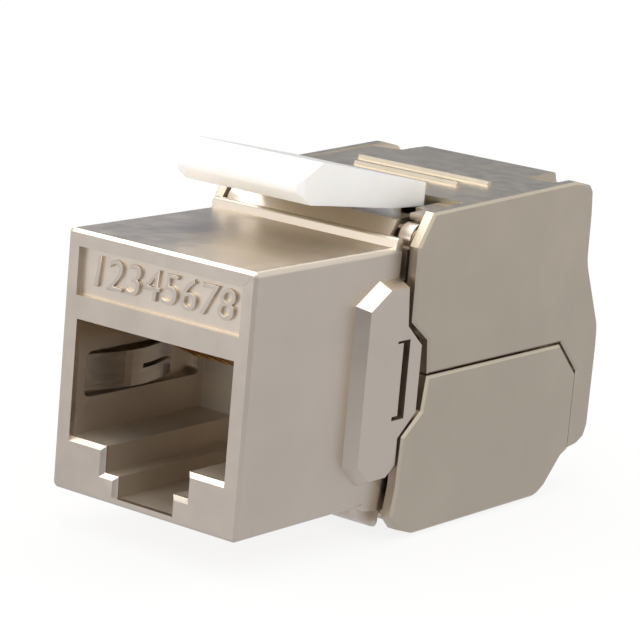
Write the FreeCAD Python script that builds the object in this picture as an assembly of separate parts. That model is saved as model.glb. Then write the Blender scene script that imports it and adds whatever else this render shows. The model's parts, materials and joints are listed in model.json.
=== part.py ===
import FreeCAD, Part
import math
import os

# Shielded keystone jack that is wired without tools, in millimetres.
#
# X runs across the jack, Y from the front face to the cable end, Z upwards.
# The pieces are drawn with their origin at the bottom middle of the front face.
# place() then moves them, so that the origin of the finished part lies on the plane
# it stands on, under the middle of its length.
#
# The jack holds, from front to back: the cast front body with its plug port, the contact
# carrier with eight contacts, the circuit board, the rear frame that carries all hinges,
# the terminal block with eight forked blades, and the wire guide with the cable's collar.
# Two cast shells close over the rear like jaws. The latch rocks in the rear frame's top.

Vector = FreeCAD.Vector

# ---- front body ----------------------------------------------------------------------------------
face_width = 14.5
face_height = 16.1
body_length = 14.6
corner_round = 0.35          # rounding along the body's four long edges
face_chamfer = 0.2           # bevel round the front face
top_wall = 0.9               # wall over the carrier bay
bay_width = 12.4             # bay behind and above the port

port_width = 12.2
port_floor = 3.4
face_band = 5.4              # height of the face over the port
port_top = face_height - face_band
step_width = 6.5             # first step below the port, for the plug's tab
step_floor = 1.75
channel_width = 4.3          # lowest step
channel_floor = 0.45
step_chamfer = 0.27          # bevel on the front edges of the steps
port_depth = 12.3
port_rear_wall = 0.45        # wall that closes the port's rear
carrier_bay_front = 1.8      # thickness of the front wall over the port

label_width = 12.6           # bare sunk field over the port
label_bottom = port_top + 1.45
label_height = face_height - label_bottom - 1.0
label_depth = 0.4

# ---- ears: raised plates on both sides of the front body -----------------------------------------
ear_inset = 0.15             # how far the ears stay inside the shells' outer faces
ear_front = 10.25            # front of the outer face; the foot starts further forward
ear_shoulder = 14.1          # rear end above and below the ear's nose
ear_rear = 15.8              # rear end of the nose
ear_bottom = 1.95
ear_top = face_height - 2.3
ear_nose_bottom = 5.7
ear_nose_top = 9.95
ear_nose_slope = 1.4         # height of the slope beside the nose
ear_lean = 0.45              # how far the ear's sides lean in between its foot and its face

slot_front = 13.3            # slot that shows the rear frame's snap tooth
slot_length = 1.25
slot_bottom = 5.5
slot_height = 5.0

# ---- fixed lug under the rear of the body, and the lip on its top --------------------------------
lug_front = 12.2
lug_drop = 1.75
lug_width = 13.8
skirt_drop = 0.55
lip_length = 0.7
lip_height = 0.6
seat_width = 12.0            # leaning wall in front of the latch's pivot
seat_top = face_height + 1.35
seat_lean = 1.15             # how far its top lies behind its foot
seat_wall = 0.45

# ---- rear shells ---------------------------------------------------------------------------------
shell_width = 16.5
shell_wall = 0.75
shell_top = face_height + 2.6  # outer face of the top plate, at its rear end
top_slope = 0.03             # fall of the top plate towards the front, per millimetre
shell_bottom = -2.25         # outer face of the bottom plate, which the jack stands on
shell_gap = 0.4              # from the ears' rear edges to the shells
shell_rear = 36.05           # lower rear end of the upper shell
shell_rear_top = 33.8        # upper rear end of the upper shell
shell_waist = 5.5            # depth below the top plate at which the rear contour bends outwards
shell_bevel = 0.16
seam_height = 7.95
seam_gap = 0.14
seam_slope = 2.25            # cut-off corner where the seam turns down
heel_height = 2.6            # height of the lower shell's cut-off heel in front of the leg
heel_depth = 0.8             # how far the rear wall stands in front of the lower leg
leg_front = 33.95            # front edge of the upper shell's rear legs
leg_foot = 0.45
leg_toe_length = 0.95
leg_toe_rise = 0.12
cable_slot_front = 31.0      # the slot for the cable is cut through both rear walls behind this
plate_raised_width = 10.5    # beside it the rear of the top plate falls away in two troughs
trough_front = 30.0
trough_slope = 0.16          # fall of the troughs, per millimetre

rib_count = 3                # grip ribs on the top plate, shorter towards the front
rib_pitch = 1.9
rib_last = 25.85
rib_length = 10.4
rib_shorter = 2.2
rib_height = 0.25
rib_width = 0.55
tail_notch_width = 11.0      # notch in the top plate for the latch's tail
tail_notch_end = 19.85
seat_notch_width = 12.5      # wider notch in front of it, for the leaning wall
seat_notch_end = 17.5
front_strip_drop = 0.35      # the plate is lower in front of this notch's end
cable_gap = 0.45             # from the guide's collar to the shells

# ---- hinges of the shells ------------------------------------------------------------------------
trunnion_radius = 0.7
trunnion_length = 1.0
hinge_clearance = 0.05
upper_hinge_y = 15.8
upper_hinge_z = face_height + 0.2
upper_cheek_radius = 1.05
lower_hinge_y = 16.0
lower_hinge_z = -0.3
lower_cheek_radius = 1.05
cheek_thickness = 0.9

# ---- rear frame ----------------------------------------------------------------------------------
frame_gap = 0.3              # from the frame's sides to the shells' inner faces
frame_rear = 18.3
frame_top = face_height + 0.8
frame_bottom = -0.9
frame_window_margin = 0.25   # from the outer blades to the window's sides
frame_window_bottom = 1.5
frame_window_drop = 0.4      # the window's top lies this far below the body's bay
snap_arm = 0.6
snap_tooth_length = 0.65
snap_tooth_sunk = 0.12       # how far the tooth stays below the ear's face

# ---- latch ---------------------------------------------------------------------------------------
latch_head_width = 9.7
latch_tail_width = 10.5
latch_crest_y = 8.6
latch_crest_rise = 5.25      # heights of the latch's corners over the body's top
latch_nose_y = 6.05
latch_nose_rise = 3.95
latch_chin_y = 7.6
latch_chin_rise = 2.75
latch_tail_y = 19.3
latch_tail_rise = 3.2
latch_tail_foot = 1.75
latch_nose_round = 0.45
latch_edge_round = 0.25
latch_tail_round = 0.95
latch_pivot_y = 16.8
latch_pivot_rise = 0.9
latch_bead_radius = 0.6
latch_bead_length = 9.2
latch_leg = 0.8
latch_clearance = 0.05
latch_seat_rim = 0.3         # how far the pivot's seat reaches above its middle
latch_seat_wall = 0.55

# ---- contacts and their carrier ------------------------------------------------------------------
contact_count = 8
contact_pitch = 1.02
contact_width = 0.45
contact_thickness = 0.36
contact_slot_clearance = 0.09
contact_low_y = 9.2          # lowest point of a contact, where the plug meets it
contact_low_drop = 2.9       # from the port's top down to that point
contact_low_z = port_top - contact_low_drop
carrier_plate = 0.9          # plate behind the port
fit_clearance = 0.05

# ---- circuit board and terminals -----------------------------------------------------------------
board_thickness = 1.0
board_margin = 0.15
blade_columns = 4
blade_pitch = 2.8
blade_width = 1.9
blade_thickness = 0.4
blade_slit = 0.36
blade_rear = 24.2
blade_tail_width = 0.8
blade_clearance = 0.07       # from a blade to the slit it stands in
upper_row_drop = 2.2         # from the window's top to the upper row of blades
lower_row_z = 3.6
block_rear = 22.5
block_gap = 0.8              # from the block's sides to the shells' inner faces
tower_height = 4.6
tower_gap = 0.6              # between neighbouring towers, for the wires

# ---- wire guide ----------------------------------------------------------------------------------
guide_front = block_rear     # the guide is pushed home on the terminal block
guide_shoulder = 29.5
guide_gap = 0.7              # from the guide's sides to the shells' inner faces
guide_bottom = 0.2
guide_top = face_height - 0.2
cable_radius = 3.75
collar_radius = 4.7
collar_rear = 35.7
cable_z = 8.05
wire_slot_width = 1.2
wire_slot_depth = 2.6

# ---- shield springs in the port's side walls -----------------------------------------------------
spring_thickness = 0.2
spring_front = 1.4
spring_length = 8.2
spring_bottom = 5.9
spring_height = 2.3
spring_bulge = 0.45          # how far the spring stands into the port
pocket_depth = 0.7
pocket_margin = 0.3
pocket_round = 0.5

# ---- sizes that follow from the ones above -------------------------------------------------------
half_body = face_width / 2
half_port = port_width / 2
half_bay = bay_width / 2
half_shell = shell_width / 2
shell_inside = half_shell - shell_wall
ear_outside = half_shell - ear_inset
half_frame = shell_inside - frame_gap
half_block = shell_inside - block_gap
half_guide = shell_inside - guide_gap
board_front = port_depth + carrier_plate
board_rear = board_front + board_thickness
bay_top = face_height - top_wall
frame_window_width = (blade_columns - 1) * blade_pitch + blade_width + 2 * frame_window_margin
frame_window_top = bay_top - frame_window_drop
upper_row_z = frame_window_top - upper_row_drop
trunnion_hole = trunnion_radius + hinge_clearance
latch_crest_z = face_height + latch_crest_rise
latch_nose_z = face_height + latch_nose_rise
latch_chin_z = face_height + latch_chin_rise
latch_tail_top = face_height + latch_tail_rise
latch_tail_bottom = face_height + latch_tail_foot
latch_pivot_z = face_height + latch_pivot_rise


# ---- helpers -------------------------------------------------------------------------------------

def box(x0, x1, y0, y1, z0, z1):
    """A block between two corners."""
    return Part.makeBox(x1 - x0, y1 - y0, z1 - z0, Vector(x0, y0, z0))


def rounded_face(corners, radii):
    """A flat face inside these corners. Each corner is rounded by its radius, or sharp where it is 0."""
    bends = []
    for i, (here, radius) in enumerate(zip(corners, radii)):
        back = (corners[i - 1] - here).normalize()
        ahead = (corners[(i + 1) % len(corners)] - here).normalize()
        half = back.getAngle(ahead) / 2
        reach = radius / math.tan(half)
        middle = here
        if radius > 0:
            middle = here + (back + ahead).normalize() * (radius / math.sin(half) - radius)
        bends.append((here + back * reach, middle, here + ahead * reach))
    edges = []
    for i, (start, middle, end) in enumerate(bends):
        if radii[i] > 0:
            edges.append(Part.Arc(start, middle, end).toShape())
        edges.append(Part.makeLine(end, bends[(i + 1) % len(bends)][0]))
    return Part.Face(Part.Wire(edges))


def radius_of(point):
    """The rounding of an outline's corner: its third value, if it has one."""
    return point[2] if len(point) > 2 else 0


def side_prism(outline, x0, x1):
    """A (y, z) outline carried along X. A third value rounds that corner by this radius."""
    corners = [Vector(x0, p[0], p[1]) for p in outline]
    return rounded_face(corners, [radius_of(p) for p in outline]).extrude(Vector(x1 - x0, 0, 0))


def front_prism(outline, y0, y1):
    """An (x, z) outline carried along Y. A third value rounds that corner by this radius."""
    corners = [Vector(p[0], y0, p[1]) for p in outline]
    return rounded_face(corners, [radius_of(p) for p in outline]).extrude(Vector(0, y1 - y0, 0))


def plan_prism(outline, z0, z1):
    """An (x, y) outline carried along Z. A third value rounds that corner by this radius."""
    corners = [Vector(p[0], p[1], z0) for p in outline]
    return rounded_face(corners, [radius_of(p) for p in outline]).extrude(Vector(0, 0, z1 - z0))


def tapered_prism(foot, face, x0, x1):
    """A solid between two (y, z) outlines with parallel edges: the foot at x0 and the face at x1."""
    return solid_between([Vector(x0, y, z) for y, z in foot], [Vector(x1, y, z) for y, z in face])


def solid_between(low, high):
    """A solid between two flat polygons with parallel edges."""
    rings = [low, high]
    for i in range(len(low)):
        rings.append([low[i - 1], low[i], high[i], high[i - 1]])
    faces = [Part.Face(Part.makePolygon(ring + ring[:1])) for ring in rings]
    solid = Part.makeSolid(Part.makeShell(faces))
    if solid.Volume < 0:
        solid.reverse()
    return solid


def moved_edges(outline, moves):
    """The outline after each edge, from one corner to the next, has moved outwards by its distance.

    The outline runs clockwise as seen with its second value upwards.
    """
    lines = []
    for i, move in enumerate(moves):
        da, db = unit(outline[i], outline[(i + 1) % len(outline)])
        lines.append((outline[i][0] - db * move, outline[i][1] + da * move, da, db))
    corners = []
    for i, (a, b, da, db) in enumerate(lines):
        a0, b0, da0, db0 = lines[i - 1]
        t = ((a - a0) * db - (b - b0) * da) / (da0 * db - db0 * da)
        corners.append((a0 + da0 * t, b0 + db0 * t))
    return corners


def rod(radius, x0, x1, y, z):
    """A round rod along X."""
    return Part.makeCylinder(radius, x1 - x0, Vector(x0, y, z), Vector(1, 0, 0))


def strip(path, thickness):
    """The outline of a band of even thickness along an open path of points."""
    left, right = [], []
    for i, (a, b) in enumerate(path):
        before = path[max(i - 1, 0)]
        after = path[min(i + 1, len(path) - 1)]
        here = (a, b)
        into = unit(before, here) if i > 0 else unit(here, after)
        out = unit(here, after) if i < len(path) - 1 else into
        mean = ((into[0] + out[0]) / 2, (into[1] + out[1]) / 2)
        reach = thickness / 2 / (mean[0] ** 2 + mean[1] ** 2)
        left.append((a - mean[1] * reach, b + mean[0] * reach))
        right.append((a + mean[1] * reach, b - mean[0] * reach))
    return left + right[::-1]


def unit(start, end):
    """The direction from one 2-D point to another, with length one."""
    da, db = end[0] - start[0], end[1] - start[1]
    length = math.hypot(da, db)
    return da / length, db / length


def both_sides(shape):
    """A shape and its mirror image across the middle plane."""
    return [shape, shape.mirror(Vector(0, 0, 0), Vector(1, 0, 0))]


def join(*shapes):
    """Shapes fused into one, with seams between flush faces removed."""
    return shapes[0].fuse(list(shapes[1:])).removeSplitter()


def bevel_outer_face(solid, x, size):
    """Bevel every edge that lies in the plane at this x."""
    edges = [e for e in solid.Edges if all(abs(v.X - x) < 1e-6 for v in e.Vertexes)]
    return solid.makeChamfer(size, edges)


# ---- front body ----------------------------------------------------------------------------------

def port_outline():
    """The stepped plug opening as an (x, z) outline."""
    half_step = step_width / 2
    half_channel = channel_width / 2
    right = [(half_channel, channel_floor), (half_channel, step_floor), (half_step, step_floor),
             (half_step, port_floor), (half_port, port_floor), (half_port, port_top)]
    return right + [(-x, z) for x, z in right[::-1]]


def tapered_mouth(outline, size):
    """What the bevel on the front edges of the steps takes away from the face."""
    sunk = [(x, z) for x, z in outline if z <= port_floor]
    half = len(sunk) // 2
    above = port_floor + 2 * size
    inner = sunk[half - 1::-1] + sunk[:half - 1:-1] + [(-half_port, above), (half_port, above)]
    moves = [0 if abs(a[0]) == abs(b[0]) == half_port or a[1] == b[1] == channel_floor else size
             for a, b in zip(inner, inner[1:] + inner[:1])]
    outer = moved_edges(inner, moves)
    low = [Vector(x, 0, z) for x, z in outer]
    high = [Vector(x, size, z) for x, z in inner]
    return solid_between(low, high)


def ear_outline():
    """The ear's outer face in side view: a plate with cut corners and a nose at its rear."""
    return [(ear_front, ear_bottom + 1.1), (ear_front, ear_top - 1.1), (ear_front + 1.85, ear_top),
            (ear_shoulder - 0.15, ear_top), (ear_shoulder + 0.1, ear_nose_top + ear_nose_slope),
            (ear_rear, ear_nose_top), (ear_rear, ear_nose_bottom),
            (ear_shoulder, ear_nose_bottom - ear_nose_slope), (ear_shoulder, ear_bottom + 0.65),
            (ear_shoulder - 0.9, ear_bottom), (ear_front + 1.25, ear_bottom)]


def make_ear():
    """The right ear: its front, top and bottom lean in from the foot to the outer face."""
    face = ear_outline()
    moves = [ear_lean] * 3 + [0] * 5 + [ear_lean] * 3
    foot = moved_edges(face, moves)
    root = side_prism(foot, half_body - 0.3, half_body)
    return join(root, tapered_prism(foot, face, half_body, ear_outside))


def lug_outline(drop):
    """The fixed lug in side view: steep in front, then a ramp down to its rear."""
    rear = body_length - 0.1
    return [(lug_front, 0.3), (lug_front, -0.45 * drop, 0.25 * drop), (lug_front + 1.5, -0.88 * drop),
            (rear, -1.02 * drop, 0.2 * drop), (rear, 0.3)]


def make_front_body():
    body = box(-half_body, half_body, 0, body_length, 0, face_height)
    long_edges = [e for e in body.Edges if abs(e.Vertexes[0].Y - e.Vertexes[1].Y) > 1]
    body = body.makeFillet(corner_round, long_edges)
    front_edges = [e for e in body.Edges if e.BoundBox.YMax < 1e-6]
    body = body.makeChamfer(face_chamfer, front_edges)

    lip_front = body_length - 0.6 - lip_length
    lip_rear = lip_front + lip_length
    lip = side_prism([(lip_front, face_height - 0.2), (lip_front + 0.15, face_height + lip_height, 0.2),
                      (lip_rear, face_height + lip_height, 0.15), (lip_rear, face_height - 0.2)],
                     -half_body, half_body)
    seat_foot = lip_rear - 0.2
    seat = side_prism([(seat_foot, face_height - 0.1), (seat_foot + seat_lean, seat_top),
                       (seat_foot + seat_lean + seat_wall, seat_top),
                       (seat_foot + seat_wall, face_height - 0.1)],
                      -seat_width / 2, seat_width / 2)
    corner = box(seat_width / 2 + 0.2, half_body + 1, lip_rear, body_length + 1,
                 bay_top - 1.2, face_height + 1)
    lug = side_prism(lug_outline(lug_drop), -lug_width / 2, lug_width / 2)
    skirt = side_prism(lug_outline(skirt_drop), -half_body, half_body)

    port = front_prism(port_outline(), -1, port_depth)
    mouth = tapered_mouth(port_outline(), step_chamfer)
    label = box(-label_width / 2, label_width / 2, -1, label_depth, label_bottom, label_bottom + label_height)
    carrier_bay = box(-half_bay, half_bay, carrier_bay_front, body_length + 1, port_top, bay_top)
    rear_bay = box(-half_bay, half_bay, port_depth + port_rear_wall, body_length + 1,
                   channel_floor + 0.3, bay_top)
    slot = box(half_bay - 0.5, ear_outside + 1, slot_front, slot_front + slot_length,
               slot_bottom, slot_bottom + slot_height)
    wall_slot = box(half_bay - 0.5, half_body, slot_front, body_length + 1,
                    slot_bottom, slot_bottom + slot_height)
    pocket_front, pocket_rear = spring_front - pocket_margin, port_depth - pocket_margin
    pocket_low, pocket_high = spring_bottom - pocket_margin, spring_bottom + spring_height + pocket_margin
    pocket = side_prism([(pocket_front, pocket_low, pocket_round), (pocket_front, pocket_high, pocket_round),
                         (pocket_rear, pocket_high, pocket_round), (pocket_rear, pocket_low, pocket_round)],
                        half_port - 0.5, half_port + pocket_depth)

    body = body.cut(both_sides(corner))
    body = join(body, lip, seat, lug, skirt, *both_sides(make_ear()))
    cuts = [port, mouth, label, carrier_bay, rear_bay]
    for piece in (slot, wall_slot, pocket):
        cuts += both_sides(piece)
    return body.cut(cuts).removeSplitter()


# ---- shells --------------------------------------------------------------------------------------

shell_front = ear_shoulder + shell_gap
notch_front = ear_rear + shell_gap + 0.15
upper_seam = seam_height + seam_gap / 2
lower_seam = seam_height - seam_gap / 2
lower_leg_front = leg_front - seam_gap
plate_rear = shell_rear_top - 2.2    # the top plate's height is measured here
plate_lip = shell_rear_top - 0.35    # rear end of the plate's flat top


def top_height(y):
    """The height of the top plate's outer face at this y."""
    return shell_top - top_slope * (plate_rear - y)


def leg_toe():
    """The corner between the leg's sole and its rear contour."""
    return (leg_front + leg_toe_length, leg_foot + leg_toe_rise)


def leg_rear_outline():
    """The upper shell's rear contour from half its height down to the foot of the leg."""
    return [(shell_rear_top + 0.1, shell_top - shell_waist, 3.0), (shell_rear - 0.1, seam_height + 0.75, 2.0),
            (shell_rear, seam_height - 0.7, 1.0), (shell_rear - 0.05, leg_foot + 1.3, 0.5),
            (shell_rear - 0.4, leg_foot + 0.5, 0.25), leg_toe(), (leg_front, leg_foot)]


def upper_side_outline():
    """The upper shell's side wall, with the step round the ear's nose and the rear leg."""
    low_corner = top_height(shell_front) - 2.0
    front = [(notch_front + 0.25, upper_seam), (notch_front, ear_nose_top + 0.25),
             (shell_front, ear_nose_top + ear_nose_slope + 0.2), (shell_front - 0.05, low_corner - 0.4),
             (shell_front - 0.1, low_corner), (shell_front + 1.25, top_height(shell_front + 1.25))]
    top = [(plate_rear, shell_top + 0.05), (shell_rear_top - 0.2, shell_top - 0.4, 0.7),
           (shell_rear_top, shell_top - 2.2, 1.0)]
    seam = [(leg_front, upper_seam - seam_slope), (leg_front - seam_slope, upper_seam)]
    return front + top + leg_rear_outline() + seam


def lower_heel():
    """Where the lower shell's bottom ends, rises and meets its rear wall."""
    return [(lower_leg_front - 3.4, shell_bottom), (lower_leg_front - 2.5, shell_bottom + 0.5),
            (lower_leg_front - heel_depth, shell_bottom + heel_height - 0.35)]


def lower_side_outline():
    """The lower shell's side wall: its front follows the ear, its rear lies before the leg."""
    front = [(notch_front + 0.25, lower_seam), (notch_front - 0.05, ear_nose_bottom),
             (shell_front, ear_nose_bottom - ear_nose_slope), (shell_front - 0.15, ear_bottom - 0.9),
             (shell_front - 0.5, shell_bottom + 1.4, 0.3), (shell_front + 0.35, shell_bottom + 0.55),
             (shell_front + 2.1, shell_bottom, 1.5)]
    (sole_y, sole_z), rise, (heel_y, heel_z) = lower_heel()
    rear = [(sole_y, sole_z, 1.2), rise, (heel_y, heel_z, 0.5),
            (lower_leg_front, shell_bottom + heel_height),
            (lower_leg_front, lower_seam - seam_slope), (lower_leg_front - seam_slope, lower_seam)]
    return front + rear


def make_trunnion(y, z):
    """A hinge trunnion cast on the inner face of a shell's side wall."""
    return rod(trunnion_radius, shell_inside - trunnion_length, shell_inside + shell_wall / 2, y, z)


def make_upper_shell():
    side = side_prism(upper_side_outline(), shell_inside, half_shell)
    side = bevel_outer_face(side, half_shell, shell_bevel)
    plate_front = shell_front + 1.35
    front_z, step_z = top_height(plate_front), top_height(tail_notch_end)
    plate = side_prism([(plate_front, front_z - shell_wall), (plate_front, front_z - front_strip_drop),
                        (tail_notch_end, step_z - front_strip_drop), (tail_notch_end, step_z),
                        (plate_rear, shell_top), (plate_rear, shell_top - shell_wall)],
                       -shell_inside, shell_inside)
    tail_notch = box(-tail_notch_width / 2, tail_notch_width / 2, plate_front - 1, tail_notch_end,
                     front_z - shell_wall - 1, shell_top + 1)
    seat_notch = box(-seat_notch_width / 2, seat_notch_width / 2, plate_front - 1, seat_notch_end,
                     front_z - shell_wall - 1, shell_top + 1)
    plate = plate.cut([tail_notch, seat_notch])

    path = [(plate_rear, shell_top), (plate_lip, shell_top), (shell_rear_top, shell_top - 0.9)]
    path += [(y, z) for y, z, *_ in leg_rear_outline()[:-2]] + [leg_toe()]
    band = strip(path, 2 * shell_wall)
    inner = band[len(path):]
    rear = side_prism(path + inner, -shell_inside, shell_inside)
    slot_radius = collar_radius + cable_gap
    cable_slot = join(Part.makeCylinder(slot_radius, shell_rear + 1 - cable_slot_front,
                                        Vector(0, cable_slot_front, cable_z), Vector(0, 1, 0)),
                      box(-slot_radius, slot_radius, cable_slot_front, shell_rear + 1, leg_foot - 1, cable_z))
    rear = rear.cut(cable_slot)
    trough_rear = shell_rear_top + 1
    trough_z = top_height(trough_front)
    trough = side_prism([(trough_front, trough_z), (trough_front, shell_top + 1),
                         (trough_rear, shell_top + 1),
                         (trough_rear, trough_z - trough_slope * (trough_rear - trough_front))],
                        plate_raised_width / 2, shell_inside)

    ribs = []
    for i in range(rib_count):
        half = rib_length / 2 - i * rib_shorter / 2
        y = rib_last - i * rib_pitch
        z = top_height(y)
        ribs.append(side_prism([(y - rib_width / 2, z - 0.1), (y - rib_width / 4, z + rib_height),
                                (y + rib_width / 4, z + rib_height), (y + rib_width / 2, z - 0.1)],
                               -half, half))
    shell = join(plate, rear, *ribs)
    shell = shell.cut(both_sides(trough))
    return join(shell, *both_sides(side), *both_sides(make_trunnion(upper_hinge_y, upper_hinge_z)))


def make_lower_shell():
    side = side_prism(lower_side_outline(), shell_inside, half_shell)
    side = bevel_outer_face(side, half_shell, shell_bevel)
    wall_y = lower_leg_front - heel_depth
    path = [(lower_hinge_y + 1.5, shell_bottom)] + lower_heel() + [(wall_y, lower_seam - 1.7)]
    band = strip(path, 2 * shell_wall)
    inner = band[:len(path)]
    floor = side_prism(path + inner[::-1], -shell_inside, shell_inside)
    slot_radius = collar_radius + cable_gap
    floor = floor.cut(Part.makeCylinder(slot_radius, wall_y + 1 - cable_slot_front,
                                        Vector(0, cable_slot_front, cable_z), Vector(0, 1, 0)))
    return join(floor, *both_sides(side), *both_sides(make_trunnion(lower_hinge_y, lower_hinge_z)))


# ---- rear frame ----------------------------------------------------------------------------------

def make_rear_frame():
    half = half_frame
    seat_front = latch_pivot_y - latch_bead_radius - latch_clearance - latch_seat_wall
    block = side_prism([(body_length, frame_bottom), (frame_rear, frame_bottom), (frame_rear, frame_top),
                        (seat_front, frame_top), (seat_front, bay_top + 0.7), (body_length, bay_top + 0.7)],
                       -half, half)
    window = box(-frame_window_width / 2, frame_window_width / 2, body_length - 1, frame_rear + 1,
                 frame_window_bottom, frame_window_top)
    ridge = box(-latch_bead_length / 2 - 0.6, latch_bead_length / 2 + 0.6, seat_front,
                latch_pivot_y + latch_bead_radius + latch_clearance + latch_seat_wall,
                frame_top - 0.2, latch_pivot_z + latch_seat_rim)
    half_groove = latch_bead_length / 2 + 0.1
    groove = rod(latch_bead_radius + latch_clearance, -half_groove, half_groove, latch_pivot_y, latch_pivot_z)
    cheek_inside = half - cheek_thickness
    cheeks, holes = [], []
    for y, z, radius in ((upper_hinge_y, upper_hinge_z, upper_cheek_radius),
                         (lower_hinge_y, lower_hinge_z, lower_cheek_radius)):
        cheeks += both_sides(rod(radius, cheek_inside, half, y, z))
        holes += both_sides(rod(trunnion_hole, shell_inside - trunnion_length - 0.1, half + 1, y, z))
    arm_outside = half_bay - fit_clearance
    arm = box(arm_outside - snap_arm, arm_outside, slot_front + 0.1, body_length + 0.5,
              slot_bottom + 0.2, slot_bottom + slot_height - 0.2)
    tooth = box(arm_outside - 0.1, ear_outside - snap_tooth_sunk,
                slot_front + 0.1, slot_front + 0.1 + snap_tooth_length,
                slot_bottom + 0.2, slot_bottom + slot_height - 0.2)
    nose_relief = box(half_body - 0.35, half + 1, body_length - 1, ear_rear + 0.1,
                      ear_nose_bottom - ear_nose_slope - 0.2, ear_nose_top + ear_nose_slope + 0.2)
    relief = box(cheek_inside - 0.3, half + 1, body_length - 1, upper_hinge_y + 3,
                 frame_top - 0.3, frame_top + 1)
    frame = join(block, ridge).cut([window, groove] + both_sides(relief) + both_sides(nose_relief))
    return join(frame, *cheeks, *both_sides(arm), *both_sides(tooth)).cut(holes)


# ---- latch ---------------------------------------------------------------------------------------

def make_latch():
    """A wedge-shaped head on an arm that rocks on a bead under its rear end."""
    profile = [(latch_nose_y, latch_nose_z, latch_nose_round),
               (latch_crest_y, latch_crest_z, latch_edge_round),
               (latch_tail_y, latch_tail_top - 0.05, latch_tail_round),
               (latch_tail_y - 0.15, latch_tail_bottom, 1.4 * latch_edge_round),
               (latch_pivot_y - 1.2, latch_tail_bottom + 0.15),
               (latch_chin_y, latch_chin_z, latch_edge_round)]
    widest = max(latch_head_width, latch_tail_width)
    side_view = side_prism(profile, -widest, widest)
    head, tail = latch_head_width / 2, latch_tail_width / 2
    right = [(head - 0.5, latch_nose_y - 1), (head - 0.45, latch_nose_y + 0.1), (head, latch_nose_y + 0.9),
             (head, latch_crest_y + 1), (tail, latch_pivot_y - 1.5), (tail, latch_tail_y - 0.6, 0.4),
             (tail - 0.5, latch_tail_y + 0.1), (tail - 0.6, latch_tail_y + 1)]
    left = [(-p[0],) + p[1:] for p in right[::-1]]
    plan = plan_prism(right + left, latch_pivot_z, latch_crest_z + 1)
    blade = side_view.common(plan)
    bead = rod(latch_bead_radius, -latch_bead_length / 2, latch_bead_length / 2, latch_pivot_y, latch_pivot_z)
    leg = box(-latch_bead_length / 2, latch_bead_length / 2, latch_pivot_y - latch_leg / 2,
              latch_pivot_y + latch_leg / 2, latch_pivot_z, latch_tail_bottom + 0.4)
    return join(blade, leg, bead)


# ---- contacts and their carrier ------------------------------------------------------------------

def contact_x(i):
    """The place of one contact across the port."""
    return (i - (contact_count - 1) / 2) * contact_pitch


def contact_row(i):
    """The height at which a contact reaches the board: odd and even ones lie in two rows."""
    return port_top + 0.3 + 0.8 * (i % 2)


def make_contact(i):
    """A bent strip: fixed in front, low where the plug meets it, then up to the board."""
    rear_z = contact_row(i)
    path = [(carrier_bay_front + 0.35, port_top + 1.2), (carrier_bay_front + 0.6, port_top - 0.1),
            (contact_low_y - 0.5, contact_low_z + 0.05), (contact_low_y, contact_low_z + 0.15),
            (contact_low_y + 1.5, port_top + 0.3), (contact_low_y + 2.1, rear_z),
            (board_rear - 0.15, rear_z)]
    x = contact_x(i)
    return side_prism(strip(path, contact_thickness), x - contact_width / 2, x + contact_width / 2)


def make_contact_carrier():
    """A comb over the port and a plate behind it, with a slot for each contact."""
    half = half_bay - fit_clearance
    comb = box(-half, half, carrier_bay_front + fit_clearance, board_front,
               port_top + 0.1, bay_top - fit_clearance)
    plate = box(-half, half, port_depth + port_rear_wall + fit_clearance, board_front,
                channel_floor + 0.4, bay_top - fit_clearance)
    slots = []
    for i in range(contact_count):
        half_slot = contact_width / 2 + contact_slot_clearance
        slots.append(box(contact_x(i) - half_slot, contact_x(i) + half_slot, carrier_bay_front - 1,
                         board_front + 1, port_top - 1, contact_row(contact_count - 1) + 0.35))
    return join(comb, plate).cut(slots)


# ---- board, terminal block and blades ------------------------------------------------------------

def blade_places():
    """Middle x and z of the blades: four above and four below."""
    return [((column - (blade_columns - 1) / 2) * blade_pitch, z)
            for z in (upper_row_z, lower_row_z) for column in range(blade_columns)]


def make_circuit_board():
    """The upright board. The contacts and blades are soldered in, so its holes fit them exactly."""
    half = frame_window_width / 2 - board_margin
    board = box(-half, half, board_front, board_rear, frame_window_bottom + 0.1, frame_window_top - 0.1)
    holes = []
    for i in range(contact_count):
        z = contact_row(i)
        holes.append(box(contact_x(i) - contact_width / 2, contact_x(i) + contact_width / 2,
                         board_front - 1, board_rear + 1,
                         z - contact_thickness / 2, z + contact_thickness / 2))
    for x, z in blade_places():
        holes.append(box(x - blade_tail_width / 2, x + blade_tail_width / 2, board_front - 1, board_rear + 1,
                         z - blade_thickness / 2, z + blade_thickness / 2))
    return board.cut(holes)


def make_blade(x, z):
    """A forked blade that cuts into a wire, with a narrow tail for the board."""
    half, tail = blade_width / 2, blade_tail_width / 2
    slit = blade_slit / 2
    mouth = half - 0.25
    outline = [(x - tail, board_front + 0.45), (x + tail, board_front + 0.45), (x + tail, board_rear + 1.6),
               (x + half, board_rear + 2.2), (x + half, blade_rear - 0.5), (x + mouth, blade_rear),
               (x + slit, blade_rear - 1.1), (x + slit, blade_rear - 3.4), (x - slit, blade_rear - 3.4),
               (x - slit, blade_rear - 1.1), (x - mouth, blade_rear), (x - half, blade_rear - 0.5),
               (x - half, board_rear + 2.2), (x - tail, board_rear + 1.6)]
    return plan_prism(outline, z - blade_thickness / 2, z + blade_thickness / 2)


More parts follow.
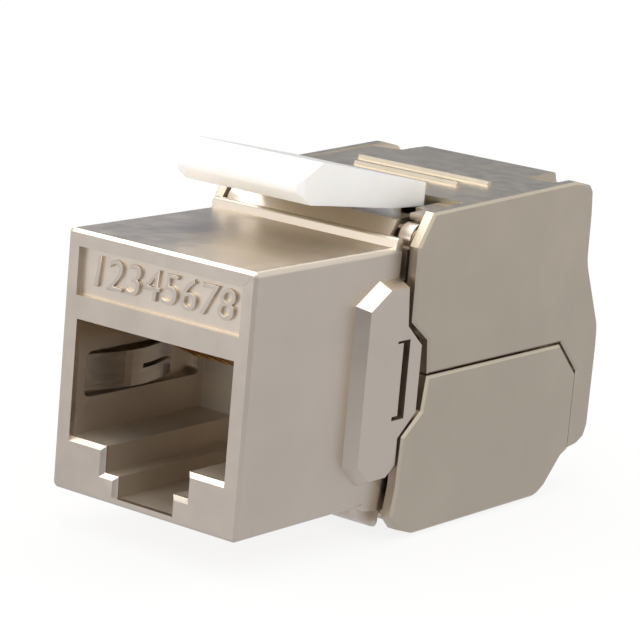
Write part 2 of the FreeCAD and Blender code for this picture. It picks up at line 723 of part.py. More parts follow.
def make_terminal_block():
    """Two rows of towers on a core that fills the frame's window and backs the board."""
    half_core = frame_window_width / 2 - fit_clearance
    core = box(-half_core, half_core, board_rear, frame_rear + 0.6,
               frame_window_bottom + fit_clearance, frame_window_top - fit_clearance)
    web = box(-half_block, half_block, frame_rear, frame_rear + 1.5, lower_row_z - tower_height / 2,
              upper_row_z + tower_height / 2)
    towers = []
    for x, z in blade_places():
        half_tower = (blade_pitch - tower_gap) / 2
        towers.append(box(x - half_tower, x + half_tower, frame_rear + 1, block_rear,
                          z - tower_height / 2, z + tower_height / 2))
    slits = []
    half_slit = blade_width / 2 + blade_clearance
    slit_rise = blade_thickness / 2 + blade_clearance
    for x, z in blade_places():
        slits.append(box(x - half_slit, x + half_slit, board_rear - 1, block_rear + 1,
                         z - slit_rise, z + slit_rise))
        slits.append(box(x - wire_slot_width / 2, x + wire_slot_width / 2, block_rear - 1.8, block_rear + 1,
                         z - tower_height, z + tower_height))
    return join(core, web, *towers).cut(slits)


# ---- wire guide ----------------------------------------------------------------------------------

def make_wire_guide():
    """A block that presses the wires on the blades, narrowing to a collar for the cable."""
    half = half_guide
    block = plan_prism([(-half, guide_front), (half, guide_front), (half, guide_shoulder),
                        (half - 2.2, guide_shoulder + 2.0), (2.2 - half, guide_shoulder + 2.0),
                        (-half, guide_shoulder)], guide_bottom, guide_top)
    collar = Part.makeCylinder(collar_radius, collar_rear - guide_shoulder,
                               Vector(0, guide_shoulder, cable_z), Vector(0, 1, 0))
    bore = Part.makeCylinder(cable_radius, collar_rear - guide_shoulder + 3,
                             Vector(0, guide_shoulder - 1, cable_z), Vector(0, 1, 0))
    funnel = Part.makeCone(cable_radius, 1.6, 2.2, Vector(0, guide_shoulder - 1, cable_z), Vector(0, -1, 0))
    slots = []
    for x, z in blade_places():
        outer = guide_top + 1 if z > cable_z else guide_bottom - 1
        low, high = sorted((z - math.copysign(1.9, z - cable_z), outer))
        slots.append(box(x - wire_slot_width / 2, x + wire_slot_width / 2, guide_front - 1,
                         guide_front + wire_slot_depth, low, high))
        slots.append(box(x - blade_width / 2 - 0.15, x + blade_width / 2 + 0.15, guide_front - 1,
                         blade_rear + 0.3, z - blade_thickness / 2 - 0.15, z + blade_thickness / 2 + 0.15))
    return join(block, collar).cut([bore, funnel] + slots)


# ---- shield springs ------------------------------------------------------------------------------

def make_port_spring():
    """A bowed leaf in the pocket of the port's right wall: one arch of a sine."""
    steps = 14
    outside = half_port + pocket_depth - spring_thickness / 2
    swing = outside - (half_port - spring_bulge) - spring_thickness / 2
    path = []
    for i in range(steps + 1):
        t = i / steps
        path.append((outside - swing * math.sin(math.pi * t), spring_front + spring_length * t))
    leaf = plan_prism(strip(path, spring_thickness), spring_bottom, spring_bottom + spring_height)
    parting = box(0, half_body, spring_front + spring_length * 0.55, spring_front + spring_length + 1,
                  spring_bottom + spring_height / 2 - 0.15, spring_bottom + spring_height / 2 + 0.15)
    return leaf.cut(parting)


# ---- all pieces ----------------------------------------------------------------------------------

def place(shape):
    """Move a finished piece so that the part's origin lies under its middle, on its standing plane."""
    moved = shape.copy()
    moved.translate(Vector(0, -shell_rear / 2, -shell_bottom))
    return moved


def make_pieces():
    """Every piece of the jack by its name."""
    spring = make_port_spring()
    pieces = {
        "front_body": make_front_body(),
        "contact_carrier": make_contact_carrier(),
        "circuit_board": make_circuit_board(),
        "rear_frame": make_rear_frame(),
        "terminal_block": make_terminal_block(),
        "wire_guide": make_wire_guide(),
        "upper_shell": make_upper_shell(),
        "lower_shell": make_lower_shell(),
        "latch": make_latch(),
        "port_spring_right": spring,
        "port_spring_left": spring.mirror(Vector(0, 0, 0), Vector(1, 0, 0)),
    }
    for i in range(contact_count):
        pieces["contact_%d" % (i + 1)] = make_contact(i)
    for i, (x, z) in enumerate(blade_places()):
        pieces["terminal_blade_%d" % (i + 1)] = make_blade(x, z)
    return pieces


os.makedirs("parts", exist_ok=True)
for name, shape in make_pieces().items():
    place(shape).exportStep("parts/%s.step" % name)
    print(name, len(shape.Solids), round(shape.Volume, 2), shape.isValid())
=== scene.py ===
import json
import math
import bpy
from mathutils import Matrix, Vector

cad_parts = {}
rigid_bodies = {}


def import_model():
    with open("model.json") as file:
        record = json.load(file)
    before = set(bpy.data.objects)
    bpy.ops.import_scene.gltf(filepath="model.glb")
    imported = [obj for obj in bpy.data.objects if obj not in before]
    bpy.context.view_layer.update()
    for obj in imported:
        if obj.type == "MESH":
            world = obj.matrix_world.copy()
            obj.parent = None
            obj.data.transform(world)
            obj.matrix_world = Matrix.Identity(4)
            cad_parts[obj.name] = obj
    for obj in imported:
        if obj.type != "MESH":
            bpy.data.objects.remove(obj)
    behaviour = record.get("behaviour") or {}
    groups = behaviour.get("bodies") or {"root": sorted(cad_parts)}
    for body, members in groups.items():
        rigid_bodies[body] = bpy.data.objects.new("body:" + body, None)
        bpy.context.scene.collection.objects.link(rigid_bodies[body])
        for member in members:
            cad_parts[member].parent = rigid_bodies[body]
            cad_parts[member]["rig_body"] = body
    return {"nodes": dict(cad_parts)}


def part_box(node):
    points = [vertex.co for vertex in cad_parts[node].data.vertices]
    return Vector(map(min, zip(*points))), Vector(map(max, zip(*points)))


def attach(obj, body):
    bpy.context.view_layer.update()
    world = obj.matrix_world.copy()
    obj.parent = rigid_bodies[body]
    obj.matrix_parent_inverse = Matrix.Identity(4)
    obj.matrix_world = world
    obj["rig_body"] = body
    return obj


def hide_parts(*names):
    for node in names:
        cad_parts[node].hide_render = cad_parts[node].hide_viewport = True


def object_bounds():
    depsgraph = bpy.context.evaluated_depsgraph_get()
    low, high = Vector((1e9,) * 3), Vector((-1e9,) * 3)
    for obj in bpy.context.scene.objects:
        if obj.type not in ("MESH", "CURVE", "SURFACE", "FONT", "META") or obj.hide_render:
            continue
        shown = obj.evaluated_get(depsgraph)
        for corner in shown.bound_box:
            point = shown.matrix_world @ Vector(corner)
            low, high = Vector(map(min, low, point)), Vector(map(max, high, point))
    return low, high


bl_info = {
    "name": "Keystone jack finish",
    "version": (1, 0, 0),
    "blender": (4, 5, 0),
    "location": "View3D > Sidebar > Jack",
    "description": "Dresses a keystone jack: rounded castings, moulded latch, contacts, studio",
    "category": "Object",
}

import bmesh
import bpy
import numpy as np
from mathutils import Quaternion, Vector

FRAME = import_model()
CAD_LOW, CAD_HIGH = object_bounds()

MM = 0.001
FACE_LOW, FACE_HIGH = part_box("front_body")
METAL_CASTINGS = ("front_body", "upper_shell", "lower_shell", "rear_frame")

# The sunk field over the port, and the block of space that holds the port's inside. Depths are
# counted from the front face. Heights are counted from the low end of the lug, 1.75 mm below
# the face. Reaches are half sizes along X, Y and Z.
FIELD_DEPTH = 0.4 * MM
FIELD_MIDDLE_UP = (13.62 + 1.75) * MM
FIELD_REACH = (6.6 * MM, 0.06 * MM, 1.9 * MM)
PORT_MIDDLE_BACK = 7.0 * MM
PORT_MIDDLE_UP = 5.6 * MM
PORT_REACH = (6.4 * MM, 6.6 * MM, 5.3 * MM)

# Shades of the nickel, as factors on its colour: the skin's darkest and palest clouds, and the
# same in the sunk field, where the nickel is painted paler as a painted highlight for the field's
# brighter reflection. The port's inside is rougher by the last number.
SKIN_SHADES = (0.965, 1.03)
FIELD_PAINTED_HIGHLIGHT_SHADES = (1.14, 1.21)
PORT_ROUGHER = 0.22

# The pin numbers: height of a figure over the font's size, slant, and rounding of the edges.
FIGURE_SHARE = 0.73
FIGURE_SLANT = 0.12
FIGURE_EDGE = 0.03 * MM

# The camera stands to the right of the port, a little above it, and is turned by a few
# degrees, so that the jack seems to lean back on its cable end.
CAMERA_PLACE = (105.9 * MM, -144.0 * MM, 52.2 * MM)
CAMERA_HEADING = (-0.58302, 0.78185, -0.22089)
CAMERA_ROLL = math.radians(5.0)
CAMERA_LENS = 162.3
CAMERA_SENSOR = 36.0
CAMERA_CLIP = (0.01, 10.0)

# The lamps: name, place from the jack's middle, side of the square, the setting that holds the
# power, and whether matt and glossy surfaces see the lamp.
LAMP_COLOUR = (1.0, 0.985, 0.96)
OVERHEAD = (-0.05, -0.02, 0.20)
LAMPS = (
    ("glint lamp", OVERHEAD, 0.25, "glint_power", False, True),
    ("overhead lamp", OVERHEAD, 0.12, "key_power", True, False),
    ("front lamp", (-0.07, -0.26, 0.05), 0.14, "front_power", True, True),
    ("port lamp", (0.10, -0.24, 0.06), 0.12, "port_power", True, True),
)

# Flat sheets that the metal mirrors, each with its width and height. The card behind is placed
# from the jack's middle. The dark one beside the port is placed from the front of the ear; it is
# a painted shade that darkens the ear's front slope in the mirror, in place of the corner's shade.
BACK_CARD_PLACE = (-0.204, 0.274, 0.10)
BACK_CARD_SIZE = (0.50, 0.26)
MAT_SIZE = (0.60, 0.60)
MAT_DROP = 0.0001
EAR_BACK = 10.0 * MM
SIDE_CARD_PLACE = (0.017, -0.045, 0.0)
SIDE_CARD_SIZE = (0.030, 0.036)
SIDE_CARD_SHADE = 0.3

FLOOR_SIZE = 6.0
FLOOR_DROP = 0.0002


# ---- what a user can change ---------------------------------------------------------------------


class JackMetalSettings(bpy.types.PropertyGroup):
    """Sizes and colours of the cast metal."""

    edge_radius: bpy.props.FloatProperty(
        name="Edge radius", description="Rounding of the castings' edges", default=0.09 * MM,
        min=0.0, unit="LENGTH")
    body_colour: bpy.props.FloatVectorProperty(
        name="Body colour", description="Nickel on the front body", subtype="COLOR", size=3,
        default=(0.650, 0.575, 0.485), min=0.0, max=1.0)
    shell_colour: bpy.props.FloatVectorProperty(
        name="Shell colour", description="Nickel on the two rear shells", subtype="COLOR", size=3,
        default=(0.556, 0.487, 0.385), min=0.0, max=1.0)
    roughness: bpy.props.FloatProperty(
        name="Roughness", description="Mean roughness of the satin plating", default=0.34,
        min=0.0, max=1.0)
    grain_size: bpy.props.FloatProperty(
        name="Grain size", description="Size of the cast skin's grain", default=0.12 * MM,
        min=0.01 * MM, unit="LENGTH")


class JackPlasticSettings(bpy.types.PropertyGroup):
    """Colours of the moulded parts."""

    latch_colour: bpy.props.FloatVectorProperty(
        name="Latch colour", description="White of the latch", subtype="COLOR", size=3,
        default=(0.92, 0.905, 0.89), min=0.0, max=1.0)
    dark_colour: bpy.props.FloatVectorProperty(
        name="Carrier colour", description="Dark plastic of the contacts' carrier",
        subtype="COLOR", size=3, default=(0.030, 0.028, 0.027), min=0.0, max=1.0)
    guide_colour: bpy.props.FloatVectorProperty(
        name="Guide colour", description="Pale plastic of the wire guide", subtype="COLOR", size=3,
        default=(0.72, 0.71, 0.67), min=0.0, max=1.0)
    block_colour: bpy.props.FloatVectorProperty(
        name="Block colour", description="Grey plastic of the terminal block", subtype="COLOR",
        size=3, default=(0.12, 0.125, 0.135), min=0.0, max=1.0)
    edge_radius: bpy.props.FloatProperty(
        name="Edge radius", description="Rounding of the mouldings' edges", default=0.12 * MM,
        min=0.0, unit="LENGTH")


class JackMarkSettings(bpy.types.PropertyGroup):
    """The raised pin numbers in the sunk field over the port."""

    height: bpy.props.FloatProperty(
        name="Numeral height", description="Height of one numeral", default=2.0 * MM,
        min=0.1 * MM, unit="LENGTH")
    relief: bpy.props.FloatProperty(
        name="Relief", description="How far the numerals stand out of the field",
        default=0.22 * MM, min=0.0, unit="LENGTH")
    pitch: bpy.props.FloatProperty(
        name="Pitch", description="Distance from one numeral to the next", default=1.42 * MM,
        min=0.1 * MM, unit="LENGTH")


class JackStudioSettings(bpy.types.PropertyGroup):
    """Light and background."""

    fill_strength: bpy.props.FloatProperty(
        name="Fill", description="Strength of the light from all sides", default=0.92, min=0.0)
    key_power: bpy.props.FloatProperty(
        name="Key power", description="Power of the overhead lamp on matt surfaces", default=0.02,
        min=0.0, unit="POWER")
    glint_power: bpy.props.FloatProperty(
        name="Glint power", description="Power of the overhead lamp in the metal's edges", default=0.58,
        min=0.0, unit="POWER")
    port_power: bpy.props.FloatProperty(
        name="Port power", description="Power of the lamp that shines into the port", default=0.02,
        min=0.0, unit="POWER")
    front_power: bpy.props.FloatProperty(
        name="Front power", description="Power of the lamp before the port", default=0.13,
        min=0.0, unit="POWER")
    shadow_share: bpy.props.FloatProperty(
        name="Shadow", description="How strongly the jack's shadow shows on the white floor",
        default=0.20, min=0.0, max=1.0)
    card_tone: bpy.props.FloatVectorProperty(
        name="Card", description="Grey of the card that the upper faces mirror", subtype="COLOR",
        default=(0.23, 0.26, 0.33), min=0.0, max=1.0)
    mat_tone: bpy.props.FloatVectorProperty(
        name="Mat", description="Grey of the mat that the upright faces mirror", subtype="COLOR",
        default=(0.615, 0.615, 0.655), min=0.0, max=1.0)


SETTINGS = (JackMetalSettings, JackPlasticSettings, JackMarkSettings, JackStudioSettings)


# ---- helpers for materials ----------------------------------------------------------------------


def new_material(name):
    """A material that is only a Principled shader; returns it, its node tree and the shader."""
    material = bpy.data.materials.new(name)
    material.use_nodes = True
    tree = material.node_tree
    tree.nodes.clear()
    shader = tree.nodes.new("ShaderNodeBsdfPrincipled")
    output = tree.nodes.new("ShaderNodeOutputMaterial")
    tree.links.new(shader.outputs["BSDF"], output.inputs["Surface"])
    return material, tree, shader


def add_noise(tree, size, detail=2.0, stretch=(1.0, 1.0, 1.0)):
    """A noise on Object coordinates whose cells are about size metres wide; returns its value."""
    where = tree.nodes.new("ShaderNodeTexCoord")
    mapping = tree.nodes.new("ShaderNodeMapping")
    mapping.inputs["Scale"].default_value = stretch
    noise = tree.nodes.new("ShaderNodeTexNoise")
    noise.inputs["Scale"].default_value = 1.0 / size
    noise.inputs["Detail"].default_value = detail
    tree.links.new(where.outputs["Object"], mapping.inputs["Vector"])
    tree.links.new(mapping.outputs["Vector"], noise.inputs["Vector"])
    return noise.outputs["Fac"]


def add_range(tree, value, low, high):
    """A value from 0.3 to 0.7, where noise mostly lies, stretched over low to high."""
    node = tree.nodes.new("ShaderNodeMapRange")
    node.inputs["From Min"].default_value = 0.3
    node.inputs["From Max"].default_value = 0.7
    node.inputs["To Min"].default_value = low
    node.inputs["To Max"].default_value = high
    tree.links.new(value, node.inputs["Value"])
    return node.outputs["Result"]


def add_colour_range(tree, value, first, second):
    """A colour that runs from the first to the second as the value runs from 0 to 1."""
    node = tree.nodes.new("ShaderNodeMix")
    node.data_type = "RGBA"
    tree.links.new(value, node.inputs["Factor"])
    for name, colour in (("A", first), ("B", second)):
        if isinstance(colour, bpy.types.NodeSocket):
            tree.links.new(colour, node.inputs[name])
        else:
            node.inputs[name].default_value = (*colour, 1.0)
    return node.outputs["Result"]


def add_math(tree, operation, *values):
    """The result of a Math node on these values, each a number or the output of a node."""
    node = tree.nodes.new("ShaderNodeMath")
    node.operation = operation
    for value, socket in zip(values, node.inputs):
        if isinstance(value, bpy.types.NodeSocket):
            tree.links.new(value, socket)
        else:
            socket.default_value = value
    return node.outputs["Value"]


def add_bump(tree, shader, height, distance, strength=1.0, after=None):
    """A bump of this depth in metres on the shader's normal, on top of an earlier one if given."""
    bump = tree.nodes.new("ShaderNodeBump")
    bump.inputs["Distance"].default_value = distance
    bump.inputs["Strength"].default_value = strength
    tree.links.new(height, bump.inputs["Height"])
    if after is not None:
        tree.links.new(after, bump.inputs["Normal"])
    tree.links.new(bump.outputs["Normal"], shader.inputs["Normal"])
    return bump.outputs["Normal"]


def shaded(colour, factor):
    """A colour made lighter or darker by a factor."""
    return tuple(min(1.0, c * factor) for c in colour)


def inside_block(tree, middle, half):
    """1 where the surface lies in a block with this middle and half size, 0 elsewhere."""
    place = tree.nodes.new("ShaderNodeTexCoord")
    parts = tree.nodes.new("ShaderNodeSeparateXYZ")
    tree.links.new(place.outputs["Object"], parts.inputs["Vector"])
    inside = 1.0
    for axis, centre, reach in zip("XYZ", middle, half):
        near = add_math(tree, "COMPARE", parts.outputs[axis], centre, reach)
        inside = add_math(tree, "MULTIPLY", inside, near)
    return inside


def satin_nickel(name, colour, roughness, grain, painted_highlight_block=None, dull_block=None):
    """Satin nickel on cast zinc: fine grain from blasting, faint clouds in gloss and tone.

    The surface within the highlight block, a middle and a half size, is painted a little paler
    as a painted highlight, and the one within the dull block is rougher, as blasting hardly
    reaches it.
    """
    material, tree, shader = new_material(name)
    shader.inputs["Metallic"].default_value = 1.0
    clouds = add_noise(tree, 5.0 * MM, 3.0)
    tone = add_range(tree, clouds, 0.0, 1.0)
    nickel = add_colour_range(tree, tone, *(shaded(colour, shade) for shade in SKIN_SHADES))
    if painted_highlight_block:
        # Painted highlight: within the sunk field the nickel is painted paler.
        bright = add_colour_range(tree, tone, *(shaded(colour, shade) for shade in FIELD_PAINTED_HIGHLIGHT_SHADES))
        nickel = add_colour_range(tree, inside_block(tree, *painted_highlight_block), nickel, bright)
    tree.links.new(nickel, shader.inputs["Base Color"])
    gloss = add_noise(tree, 1.1 * MM, 4.0)
    finish = add_range(tree, gloss, roughness - 0.035, roughness + 0.035)
    if dull_block:
        finish = add_math(tree, "MULTIPLY_ADD", inside_block(tree, *dull_block), PORT_ROUGHER, finish)
    tree.links.new(finish, shader.inputs["Roughness"])
    skin = add_noise(tree, grain, 3.0)
    first = add_bump(tree, shader, skin, 0.016 * MM, 0.40)
    waves = add_noise(tree, 1.8 * MM, 2.0)
    add_bump(tree, shader, waves, 0.03 * MM, 0.12, first)
    return material


def moulded_plastic(name, colour, roughness, grain=0.15 * MM, depth=0.004 * MM):
    """Moulded plastic: an even colour with faint clouds, and the fine skin of a polished mould."""
    material, tree, shader = new_material(name)
    clouds = add_noise(tree, 3.5 * MM, 2.0)
    tone = add_range(tree, clouds, 0.0, 1.0)
    tree.links.new(add_colour_range(tree, tone, shaded(colour, 0.97), shaded(colour, 1.02)),
                   shader.inputs["Base Color"])
    gloss = add_noise(tree, 0.9 * MM, 3.0)
    finish = add_range(tree, gloss, roughness - 0.04, roughness + 0.04)
    tree.links.new(finish, shader.inputs["Roughness"])
    skin = add_noise(tree, grain, 2.0)
    add_bump(tree, shader, skin, depth, 0.4)
    return material


def plated_strip(name, colour, roughness):
    """Bright plated strip, rolled along its length: fine streaks in its gloss."""
    material, tree, shader = new_material(name)
    shader.inputs["Metallic"].default_value = 1.0
    streaks = add_noise(tree, 0.25 * MM, 3.0, (1.0, 0.08, 1.0))
    tone = add_range(tree, streaks, 0.0, 1.0)
    tree.links.new(add_colour_range(tree, tone, shaded(colour, 0.9), shaded(colour, 1.05)),
                   shader.inputs["Base Color"])
    finish = add_range(tree, streaks, roughness - 0.05, roughness + 0.06)
    tree.links.new(finish, shader.inputs["Roughness"])
    return material


def lacquered_board(name):
    """Green solder lacquer over copper, with the weave of the glass cloth under it."""
    material, tree, shader = new_material(name)
    weave = add_noise(tree, 0.22 * MM, 1.0)
    tone = add_range(tree, weave, 0.0, 1.0)
    tree.links.new(add_colour_range(tree, tone, (0.012, 0.085, 0.030), (0.020, 0.125, 0.045)),
                   shader.inputs["Base Color"])
    shader.inputs["Roughness"].default_value = 0.32
    shader.inputs["Coat Weight"].default_value = 0.4
    return material


# ---- helpers for pieces -------------------------------------------------------------------------


def set_material(piece, material):
    """The piece gets this material alone."""
    piece.data.materials.clear()
    piece.data.materials.append(material)


def rounded_copy(node, radius, segments, material, angle=24.0):
    """A copy of a CAD node with clean flat faces and every edge rounded.

    Its triangles are merged, and faces with many corners are cut again into the best shaped
    triangles, so that no face folds over itself. An edge sharper than the angle in degrees is
    cut back by the radius on both sides, and the strip between is bent over the given number
    of segments.
    """
    source = FRAME["nodes"][node]
    mesh = source.data.copy()
    cleaner = bmesh.new()
    cleaner.from_mesh(mesh)
    bmesh.ops.remove_doubles(cleaner, verts=cleaner.verts, dist=0.0005 * MM)
    bmesh.ops.dissolve_limit(cleaner, angle_limit=math.radians(0.6), verts=cleaner.verts,
                             edges=cleaner.edges, delimit={"NORMAL"})
    pierced = [face for face in cleaner.faces if len(face.verts) > 4]
    bmesh.ops.triangulate(cleaner, faces=pierced, ngon_method="BEAUTY")
    bmesh.ops.recalc_face_normals(cleaner, faces=cleaner.faces)
    cleaner.to_mesh(mesh)
    cleaner.free()
    piece = bpy.data.objects.new(node + "_finished", mesh)
    bpy.context.scene.collection.objects.link(piece)
    mesh.polygons.foreach_set("use_smooth", np.ones(len(mesh.polygons), bool))
    bevel = piece.modifiers.new("edges", "BEVEL")
    bevel.width = radius
    bevel.segments = segments
    bevel.limit_method = "ANGLE"
    bevel.angle_limit = math.radians(angle)
    bevel.use_clamp_overlap = True
    bevel.miter_outer = "MITER_ARC"
    bevel.loop_slide = False
    bevel.face_strength_mode = "FSTR_ALL"
    weighting = piece.modifiers.new("flat faces stay flat", "WEIGHTED_NORMAL")
    weighting.mode = "FACE_AREA"
    weighting.weight = 100
    weighting.use_face_influence = True
    set_material(piece, material)
    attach(piece, source["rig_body"])
    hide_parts(node)


def nodes_like(start):
    """The CAD nodes whose names begin so, in order."""
    return sorted(n for n in FRAME["nodes"] if n.startswith(start))


def contacts():
    """The CAD nodes of the contacts, without their carrier."""
    return [n for n in nodes_like("contact_") if n != "contact_carrier"]


# ---- operators ----------------------------------------------------------------------------------


class JACK_OT_castings(bpy.types.Operator):
    """Rounds the castings and gives them their nickel"""

    bl_idname = "jack.castings"
    bl_label = "Finish the castings"

    def execute(self, context):
        metal = context.scene.jack_metal
        field = (0.0, FACE_LOW.y + FIELD_DEPTH, FACE_LOW.z + FIELD_MIDDLE_UP)
        port = (0.0, FACE_LOW.y + PORT_MIDDLE_BACK, FACE_LOW.z + PORT_MIDDLE_UP)
        # The sunk field gets a painted highlight: its nickel is painted paler there.
        body = satin_nickel("nickel on the front body", metal.body_colour, metal.roughness,
                            metal.grain_size, (field, FIELD_REACH), (port, PORT_REACH))
        shell = satin_nickel("nickel on the shells", metal.shell_colour, metal.roughness,
                             metal.grain_size)
        for node in METAL_CASTINGS:
            material = shell if node.endswith("shell") else body
            rounded_copy(node, metal.edge_radius, 3, material)
        return {"FINISHED"}


class JACK_OT_latch(bpy.types.Operator):
    """Rounds the latch and gives it its white plastic"""

    bl_idname = "jack.latch"
    bl_label = "Finish the latch"

    def execute(self, context):
        plastic = context.scene.jack_plastic
        white = moulded_plastic("white of the latch", plastic.latch_colour, 0.38)
        shader = white.node_tree.nodes["Principled BSDF"]
        shader.inputs["Subsurface Weight"].default_value = 0.55
        shader.inputs["Subsurface Radius"].default_value = (1.0, 0.75, 0.42)
        shader.inputs["Subsurface Scale"].default_value = 3.0 * MM
        rounded_copy("latch", plastic.edge_radius, 3, white)
        return {"FINISHED"}


class JACK_OT_mouldings(bpy.types.Operator):
    """Gives the inner plastic parts and the circuit board their materials"""

    bl_idname = "jack.mouldings"
    bl_label = "Finish the inner mouldings"

    def execute(self, context):
        plastic = context.scene.jack_plastic
        dark = moulded_plastic("dark plastic", plastic.dark_colour, 0.45)
        grey = moulded_plastic("grey plastic", plastic.block_colour, 0.42)
        pale = moulded_plastic("pale plastic", plastic.guide_colour, 0.40)
        board = lacquered_board("lacquered board")
        for node, material in (("contact_carrier", dark), ("terminal_block", grey),
                               ("wire_guide", pale)):
            rounded_copy(node, 0.5 * plastic.edge_radius, 2, material)
        set_material(FRAME["nodes"]["circuit_board"], board)
        return {"FINISHED"}


class JACK_OT_strips(bpy.types.Operator):
    """Gives the contacts, the blades and the port's springs their plating"""

    bl_idname = "jack.strips"
    bl_label = "Finish the metal strips"

    def execute(self, context):
        gold = plated_strip("gold plating", (0.80, 0.52, 0.14), 0.22)
        tin = plated_strip("tinned bronze", (0.62, 0.58, 0.50), 0.30)
        spring = plated_strip("spring strip", (0.60, 0.57, 0.54), 0.20)
        for nodes, material in ((contacts(), gold), (nodes_like("terminal_blade_"), tin),
                                (nodes_like("port_spring_"), spring)):
            for node in nodes:
                set_material(FRAME["nodes"][node], material)
        return {"FINISHED"}


class JACK_OT_numerals(bpy.types.Operator):
    """Puts raised pin numbers into the sunk field over the port"""

    bl_idname = "jack.numerals"
    bl_label = "Make the pin numbers"

    def execute(self, context):
        marks = context.scene.jack_marks
        metal = bpy.data.materials["nickel on the front body"]
        count = len(contacts())
        field_middle = FACE_LOW.z + FIELD_MIDDLE_UP
        for i in range(count):
            curve = bpy.data.curves.new("pin_number_%d" % (i + 1), "FONT")
            curve.body = str(i + 1)
            curve.align_x = "CENTER"
            curve.align_y = "CENTER"
            curve.size = marks.height / FIGURE_SHARE
            curve.extrude = 0.5 * marks.relief
            curve.bevel_depth = FIGURE_EDGE
            curve.bevel_resolution = 1
            curve.offset = -FIGURE_EDGE
            curve.shear = FIGURE_SLANT
            mesh = bpy.data.meshes.new_from_object(bpy.data.objects.new("numeral", curve))
            place = np.empty(len(mesh.vertices) * 3)
            mesh.vertices.foreach_get("co", place)
            place = place.reshape(-1, 3)
            x = place[:, 0] + (i - (count - 1) / 2) * marks.pitch
            y = FACE_LOW.y + FIELD_DEPTH - place[:, 2] - 0.5 * marks.relief + FIGURE_EDGE
            z = place[:, 1] + field_middle
            mesh.vertices.foreach_set("co", np.stack([x, y, z], axis=1).ravel())
            mesh.update()
            piece = bpy.data.objects.new("pin_number_%d" % (i + 1), mesh)
            context.scene.collection.objects.link(piece)
            set_material(piece, metal)
            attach(piece, "core")
        return {"FINISHED"}


def mix_by_sight(tree, lit, seen, output):
    """Joins two shaders: one gives light to things, the other is what the eye and mirrors see."""
    rays = tree.nodes.new("ShaderNodeLightPath")
    sight = add_math(tree, "MAXIMUM", rays.outputs["Is Camera Ray"], rays.outputs["Is Glossy Ray"])
    sight = add_math(tree, "MAXIMUM", sight, rays.outputs["Is Transmission Ray"])
    mix = tree.nodes.new("ShaderNodeMixShader")
    tree.links.new(sight, mix.inputs["Fac"])
    tree.links.new(lit, mix.inputs[1])
    tree.links.new(seen, mix.inputs[2])
    tree.links.new(mix.outputs["Shader"], output)


def make_sheet(name, width, height):
    """A flat rectangle round its own origin that faces along its Z axis."""
    mesh = bpy.data.meshes.new(name)
    a, b = 0.5 * width, 0.5 * height
    mesh.from_pydata([(-a, -b, 0), (a, -b, 0), (a, b, 0), (-a, b, 0)], [], [(0, 1, 2, 3)])
    sheet = bpy.data.objects.new(name, mesh)
    bpy.context.scene.collection.objects.link(sheet)
    return sheet


def aim(thing, place, target, axis):
    """Puts a thing at its place, with this axis of it towards the target."""
    thing.location = place
    thing.rotation_mode = "QUATERNION"
    thing.rotation_quaternion = (target - place).to_track_quat(axis, "Y")


def make_lamp(name, place, target, size, power, on_matt, on_gloss):
    """A square area lamp of this size that shines from its place towards the target.

    Kept from matt surfaces it only makes highlights, and kept from glossy ones it makes none.
    """
    data = bpy.data.lights.new(name, "AREA")
    data.shape = "SQUARE"
    data.size = size
    data.energy = power
    data.color = LAMP_COLOUR
    lamp = bpy.data.objects.new(name, data)
    aim(lamp, place, target, "-Z")
    lamp.visible_diffuse = on_matt
    lamp.visible_glossy = on_gloss
    bpy.context.scene.collection.objects.link(lamp)


def make_card(name, place, target, width, height, tone):
    """A sheet of an even tone that only mirrors see, facing the target, and without a shadow."""
    card = make_sheet(name, width, height)
    aim(card, place, target, "Z")
    card.visible_camera = False
    card.visible_diffuse = False
    card.visible_transmission = False
    card.visible_shadow = False
    material = bpy.data.materials.new(name)
    material.use_nodes = True
    tree = material.node_tree
    tree.nodes.clear()
    grey = tree.nodes.new("ShaderNodeEmission")
    grey.inputs["Color"].default_value = (*tone, 1.0)
    grey.inputs["Strength"].default_value = 1.0
    output = tree.nodes.new("ShaderNodeOutputMaterial")
    tree.links.new(grey.outputs["Emission"], output.inputs["Surface"])
    set_material(card, material)


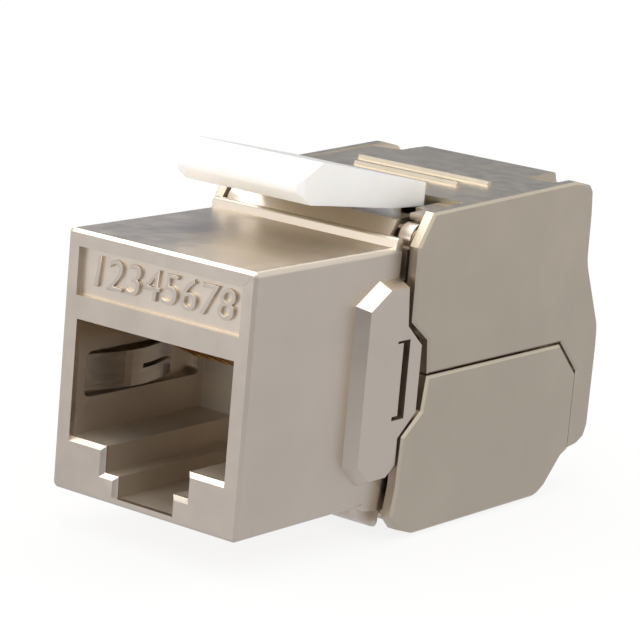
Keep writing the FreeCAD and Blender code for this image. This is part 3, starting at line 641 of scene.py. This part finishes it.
class JACK_OT_studio(bpy.types.Operator):
    """Makes the camera, the pale floor, the lamps and the world"""

    bl_idname = "jack.studio"
    bl_label = "Set up the studio"

    def execute(self, context):
        studio = context.scene.jack_studio
        scene = context.scene
        scene.view_settings.view_transform = "Standard"
        scene.cycles.glossy_bounces = 10

        data = bpy.data.cameras.new("camera")
        data.lens = CAMERA_LENS
        data.sensor_width = CAMERA_SENSOR
        data.clip_start, data.clip_end = CAMERA_CLIP
        camera = bpy.data.objects.new("camera", data)
        camera.rotation_mode = "QUATERNION"
        turn = Vector(CAMERA_HEADING).to_track_quat("-Z", "Y")
        camera.rotation_quaternion = turn @ Quaternion((0.0, 0.0, 1.0), CAMERA_ROLL)
        camera.location = CAMERA_PLACE
        scene.collection.objects.link(camera)
        scene.camera = camera

        middle = 0.5 * (CAD_LOW + CAD_HIGH)
        for name, place, size, power, on_matt, on_gloss in LAMPS:
            make_lamp(name, middle + Vector(place), middle, size, getattr(studio, power),
                      on_matt, on_gloss)
        make_card("card behind the jack", middle + Vector(BACK_CARD_PLACE), middle,
                  *BACK_CARD_SIZE, studio.card_tone)
        below = Vector((middle.x, middle.y, CAD_LOW.z - MAT_DROP))
        make_card("mat under the jack", below, below + Vector((0, 0, 1)), *MAT_SIZE, studio.mat_tone)
        # Painted shade: the dark card darkens what the ear's front slope mirrors.
        ear = Vector((FACE_HIGH.x, FACE_LOW.y + EAR_BACK, below.z + 0.5 * SIDE_CARD_SIZE[1]))
        make_card("dark card beside the port", ear + Vector(SIDE_CARD_PLACE), ear,
                  *SIDE_CARD_SIZE, shaded(studio.mat_tone, SIDE_CARD_SHADE))

        world = bpy.data.worlds.new("studio")
        scene.world = world
        world.use_nodes = True
        tree = world.node_tree
        tree.nodes.clear()
        output = tree.nodes.new("ShaderNodeOutputWorld")
        lit = tree.nodes.new("ShaderNodeBackground")
        lit.inputs["Color"].default_value = (1.0, 0.985, 0.965, 1.0)
        lit.inputs["Strength"].default_value = studio.fill_strength
        seen = tree.nodes.new("ShaderNodeBackground")
        seen.inputs["Color"].default_value = (1.0, 1.0, 1.0, 1.0)
        seen.inputs["Strength"].default_value = 1.0
        mix_by_sight(tree, lit.outputs["Background"], seen.outputs["Background"],
                     output.inputs["Surface"])

        floor = make_sheet("floor", FLOOR_SIZE, FLOOR_SIZE)
        floor.location = (0, 0, CAD_LOW.z - FLOOR_DROP)
        material, tree, shader = new_material("pale floor")
        shader.inputs["Base Color"].default_value = (0.93, 0.93, 0.93, 1.0)
        shader.inputs["Roughness"].default_value = 0.9
        output = tree.nodes["Material Output"]
        shadowed = tree.nodes.new("ShaderNodeBsdfDiffuse")
        shadowed.inputs["Color"].default_value = (studio.shadow_share,) * 3 + (1.0,)
        glow = tree.nodes.new("ShaderNodeEmission")
        glow.inputs["Strength"].default_value = 1.0 - 0.85 * studio.shadow_share
        seen = tree.nodes.new("ShaderNodeAddShader")
        tree.links.new(shadowed.outputs["BSDF"], seen.inputs[0])
        tree.links.new(glow.outputs["Emission"], seen.inputs[1])
        mix_by_sight(tree, shader.outputs["BSDF"], seen.outputs["Shader"], output.inputs["Surface"])
        set_material(floor, material)
        return {"FINISHED"}


OPERATORS = (JACK_OT_castings, JACK_OT_latch, JACK_OT_mouldings, JACK_OT_strips,
             JACK_OT_numerals, JACK_OT_studio)


class JACK_PT_panel(bpy.types.Panel):
    """Lists the steps that dress the jack"""

    bl_idname = "JACK_PT_panel"
    bl_label = "Keystone jack"
    bl_space_type = "VIEW_3D"
    bl_region_type = "UI"
    bl_category = "Jack"

    def draw(self, context):
        for operator in OPERATORS:
            self.layout.operator(operator.bl_idname)
        for group in ("jack_metal", "jack_plastic", "jack_marks", "jack_studio"):
            box = self.layout.box()
            settings = getattr(context.scene, group)
            for name in settings.__annotations__:
                box.prop(settings, name)


def register():
    """Makes the settings, operators and panel known to Blender"""
    for item in SETTINGS + OPERATORS + (JACK_PT_panel,):
        bpy.utils.register_class(item)
    bpy.types.Scene.jack_metal = bpy.props.PointerProperty(type=JackMetalSettings)
    bpy.types.Scene.jack_plastic = bpy.props.PointerProperty(type=JackPlasticSettings)
    bpy.types.Scene.jack_marks = bpy.props.PointerProperty(type=JackMarkSettings)
    bpy.types.Scene.jack_studio = bpy.props.PointerProperty(type=JackStudioSettings)


def unregister():
    """Takes the settings, operators and panel away again"""
    for name in ("jack_metal", "jack_plastic", "jack_marks", "jack_studio"):
        delattr(bpy.types.Scene, name)
    for item in reversed(SETTINGS + OPERATORS + (JACK_PT_panel,)):
        bpy.utils.unregister_class(item)


def main():
    """Dresses the jack in the order of its operators"""
    register()
    bpy.ops.jack.castings()
    bpy.ops.jack.latch()
    bpy.ops.jack.mouldings()
    bpy.ops.jack.strips()
    bpy.ops.jack.numerals()
    bpy.ops.jack.studio()


if __name__ == "__main__":
    main()
